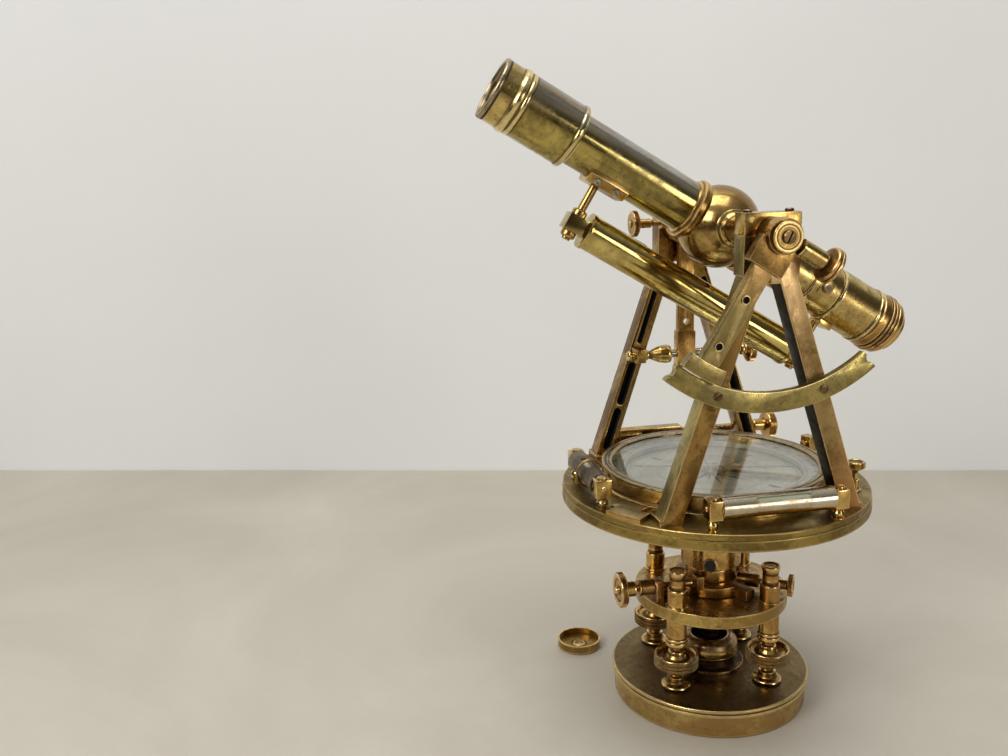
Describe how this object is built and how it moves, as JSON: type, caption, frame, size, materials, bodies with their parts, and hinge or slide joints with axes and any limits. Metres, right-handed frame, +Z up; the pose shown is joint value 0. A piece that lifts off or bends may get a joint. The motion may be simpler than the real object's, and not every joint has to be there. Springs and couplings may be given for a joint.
{
  "type": "surveyors transit",
  "caption": "Brass surveying transit with levelling head, horizontal limb, compass, plate levels, A-frame standards and a telescope with level and vertical arc.",
  "frame": {"origin": "centre of the tripod thread at the underside of the foot plate", "axes": "+Z up along the vertical axis; X along the telescope's cross axis, with the vertical arc at -X; the objective end points to +Y and up"},
  "size_m": [0.183, 0.2507, 0.3741],
  "materials": {
    "brass_old": "lacquered brass, tarnished and satin worn",
    "brass_bright": "polished brass with light tarnish",
    "brass_brown": "coppery brown patina, milled edges",
    "bronze_dark": "dark oiled bronze",
    "silvered": "silvered and brushed",
    "steel": "bright steel",
    "glass": "clear"
  },
  "bodies": {
    "base": {"foot_plate": "brass_old", "ball_cup": "bronze_dark"},
    "half_ball": {"half_ball": "bronze_dark"},
    "levelling_head": {"head_socket": "brass_bright", "head_plate": "brass_old", "screw_sleeves": "brass_bright"},
    "lower_clamp": {"lower_clamp": "brass_old"},
    "lower_clamp_screw": {"lower_clamp_screw": "brass_brown"},
    "lower_tangent_screw": {"lower_tangent_screw": "brass_brown"},
    "limb": {"outer_spindle": "brass_bright", "limb": "brass_old"},
    "alidade": {"vernier_plate": "brass_old", "vernier_scales": "silvered", "window_frames": "brass_old", "compass_box": "brass_old", "compass_dial": "silvered", "bezel": "brass_old", "compass_glass": "glass", "brackets": "brass_old", "plate_levels": "brass_old", "level_posts": "brass_old", "plate_vials": "glass", "standard_near": "brass_old", "standard_far": "brass_old", "bearing_caps": "brass_old", "small_screws": "steel", "vertical_arc": "brass_old", "spring_box": "brass_bright"},
    "needle_lifter": {"needle_lifter": "brass_old"},
    "needle": {"needle": "steel"},
    "lifter_screw": {"lifter_screw": "brass_bright"},
    "upper_clamp": {"upper_clamp": "brass_old"},
    "upper_clamp_screw": {"upper_clamp_screw": "brass_brown"},
    "upper_tangent_screw": {"upper_tangent_screw": "brass_brown"},
    "clamp_arm": {"clamp_arm": "brass_brown"},
    "vertical_clamp_screw": {"vertical_clamp_screw": "brass_brown"},
    "tangent_tip": {"tangent_tip": "steel"},
    "tangent_screw": {"tangent_screw": "brass_brown"},
    "plunger": {"plunger": "steel"},
    "telescope": {"axle": "brass_old", "main_tube": "brass_old", "reticle": "brass_bright", "level_case": "brass_bright", "level_vial": "glass", "level_brackets": "brass_bright", "index_arm": "brass_old"},
    "index_clamp_screw": {"index_clamp_screw": "brass_brown"},
    "objective": {"objective_slide": "brass_old", "objective_glass": "glass"},
    "focus_pinion": {"focus_pinion": "brass_old"},
    "eyepiece": {"eyepiece": "brass_brown"},
    "eye_cap": {"eye_cap": "brass_bright"},
    "shoe_a": {"shoe_a": "brass_brown"},
    "levelling_screw_a": {"levelling_screw_a": "brass_brown"},
    "shoe_b": {"shoe_b": "brass_brown"},
    "levelling_screw_b": {"levelling_screw_b": "brass_brown"},
    "shoe_c": {"shoe_c": "brass_brown"},
    "levelling_screw_c": {"levelling_screw_c": "brass_brown"},
    "shoe_d": {"shoe_d": "brass_brown"},
    "levelling_screw_d": {"levelling_screw_d": "brass_brown"}
  },
  "joints": [
    {"name": "tilt_along_a_c", "type": "hinge", "parent": "base", "child": "half_ball", "pos_m": [0, 0, 0.027], "axis": [-0.6211, 0.7837, 0], "range_deg": [-4, 4]},
    {"name": "tilt_along_b_d", "type": "hinge", "parent": "half_ball", "child": "levelling_head", "pos_m": [0, 0, 0.027], "axis": [0.7837, 0.6211, 0], "range_deg": [-4, 4]},
    {"name": "shoe_travel_a", "type": "slide", "parent": "levelling_head", "child": "shoe_a", "axis": [0, 0, 1], "range_m": [-0.0028, 0.0028]},
    {"name": "levelling_screw_turn_a", "type": "hinge", "parent": "shoe_a", "child": "levelling_screw_a", "pos_m": [0.03041, 0.0241, 0.0223], "axis": [0, 0, 1], "continuous": true},
    {"name": "shoe_travel_b", "type": "slide", "parent": "levelling_head", "child": "shoe_b", "axis": [0, 0, 1], "range_m": [-0.0028, 0.0028]},
    {"name": "levelling_screw_turn_b", "type": "hinge", "parent": "shoe_b", "child": "levelling_screw_b", "pos_m": [-0.0241, 0.03041, 0.0223], "axis": [0, 0, 1], "continuous": true},
    {"name": "shoe_travel_c", "type": "slide", "parent": "levelling_head", "child": "shoe_c", "axis": [0, 0, 1], "range_m": [-0.0028, 0.0028]},
    {"name": "levelling_screw_turn_c", "type": "hinge", "parent": "shoe_c", "child": "levelling_screw_c", "pos_m": [-0.03041, -0.0241, 0.0223], "axis": [0, 0, 1], "continuous": true},
    {"name": "shoe_travel_d", "type": "slide", "parent": "levelling_head", "child": "shoe_d", "axis": [0, 0, 1], "range_m": [-0.0028, 0.0028]},
    {"name": "levelling_screw_turn_d", "type": "hinge", "parent": "shoe_d", "child": "levelling_screw_d", "pos_m": [0.0241, -0.03041, 0.0223], "axis": [0, 0, 1], "continuous": true},
    {"name": "lower_clamp_swing", "type": "hinge", "parent": "levelling_head", "child": "lower_clamp", "pos_m": [0, 0, 0.07], "axis": [0, 0, 1], "range_deg": [-2.5, 2.5]},
    {"name": "lower_clamp_screw_turn", "type": "hinge", "parent": "lower_clamp", "child": "lower_clamp_screw", "pos_m": [-0.01678, -0.02487, 0.0745], "axis": [-0.5592, -0.829, 0], "range_deg": [-360, 90]},
    {"name": "lower_tangent_screw_turn", "type": "hinge", "parent": "levelling_head", "child": "lower_tangent_screw", "pos_m": [-0.0145, 0.04, 0.0777], "axis": [0, 1, 0], "continuous": true},
    {"name": "limb_turn", "type": "hinge", "parent": "levelling_head", "child": "limb", "pos_m": [0, 0, 0.069], "axis": [0, 0, 1], "continuous": true},
    {"name": "alidade_turn", "type": "hinge", "parent": "limb", "child": "alidade", "pos_m": [0, 0, 0.132], "axis": [0, 0, 1], "continuous": true},
    {"name": "needle_lift", "type": "slide", "parent": "alidade", "child": "needle_lifter", "axis": [0, 0, 1], "range_m": [0, 0.001]},
    {"name": "needle_turn", "type": "hinge", "parent": "needle_lifter", "child": "needle", "pos_m": [0, 0, 0.142], "axis": [0, 0, 1], "continuous": true},
    {"name": "lifter_screw_turn", "type": "hinge", "parent": "alidade", "child": "lifter_screw", "pos_m": [-0.0401, -0.06807, 0.15], "axis": [0, 0, 1], "range_deg": [0, 300]},
    {"name": "upper_clamp_swing", "type": "hinge", "parent": "alidade", "child": "upper_clamp", "pos_m": [0, 0, 0.135], "axis": [0, 0, 1], "range_deg": [-2, 2]},
    {"name": "upper_clamp_screw_turn", "type": "hinge", "parent": "alidade", "child": "upper_clamp_screw", "pos_m": [0.01941, -0.07244, 0.1464], "axis": [0.2588, -0.9659, 0], "range_deg": [-360, 90]},
    {"name": "upper_tangent_screw_turn", "type": "hinge", "parent": "alidade", "child": "upper_tangent_screw", "pos_m": [0.0745, -0.03, 0.1438], "axis": [0, -1, 0], "continuous": true},
    {"name": "telescope_elevation", "type": "hinge", "parent": "alidade", "child": "telescope", "pos_m": [0, 0, 0.2835], "axis": [1, 0, 0], "range_deg": [-77, 195]},
    {"name": "objective_focus", "type": "slide", "parent": "telescope", "child": "objective", "axis": [0, 0.8572, 0.515], "range_m": [0, 0.012]},
    {"name": "focus_pinion_turn", "type": "hinge", "parent": "telescope", "child": "focus_pinion", "pos_m": [0.02, 0.036, 0.30513], "axis": [1, 0, 0], "range_deg": [-285, 0]},
    {"name": "eyepiece_focus", "type": "slide", "parent": "telescope", "child": "eyepiece", "axis": [0, -0.8572, -0.515], "range_m": [0, 0.005]},
    {"name": "index_clamp_screw_turn", "type": "hinge", "parent": "telescope", "child": "index_clamp_screw", "pos_m": [-0.0772, -0.01029, 0.27732], "axis": [0, -0.8572, -0.515], "range_deg": [-360, 90]},
    {"name": "clamp_arm_swing", "type": "hinge", "parent": "alidade", "child": "clamp_arm", "pos_m": [0.048, 0, 0.2835], "axis": [1, 0, 0], "range_deg": [-2.5, 2.5]},
    {"name": "vertical_clamp_screw_turn", "type": "hinge", "parent": "clamp_arm", "child": "vertical_clamp_screw", "pos_m": [0.048, 0.015, 0.2835], "axis": [0, 1, 0], "range_deg": [-360, 90]},
    {"name": "tangent_tip_travel", "type": "slide", "parent": "alidade", "child": "tangent_tip", "axis": [0, 1, 0], "range_m": [-0.0036, 0.0036]},
    {"name": "tangent_screw_turn", "type": "hinge", "parent": "tangent_tip", "child": "tangent_screw", "pos_m": [0.048, -0.03, 0.2025], "axis": [0, -1, 0], "continuous": true},
    {"name": "plunger_travel", "type": "slide", "parent": "alidade", "child": "plunger", "axis": [0, 1, 0], "range_m": [-0.0036, 0.0036]},
    {"name": "eye_cap_lift", "type": "slide", "parent": "base", "child": "eye_cap", "axis": [0, 0, 1], "range_m": [0, 0.03]}
  ],
  "couplings": [
    {"joint": "shoe_travel_a", "follows": "tilt_along_a_c", "m_per_rad": 0.0388},
    {"joint": "shoe_travel_b", "follows": "tilt_along_b_d", "m_per_rad": -0.0388},
    {"joint": "shoe_travel_c", "follows": "tilt_along_a_c", "m_per_rad": -0.0388},
    {"joint": "shoe_travel_d", "follows": "tilt_along_b_d", "m_per_rad": 0.0388},
    {"joint": "lifter_screw_turn", "follows": "needle_lift", "rad_per_m": 4712},
    {"joint": "focus_pinion_turn", "follows": "objective_focus", "rad_per_m": -384.6},
    {"joint": "tangent_tip_travel", "follows": "clamp_arm_swing", "m_per_rad": 0.081},
    {"joint": "plunger_travel", "follows": "clamp_arm_swing", "m_per_rad": 0.081}
  ]
}
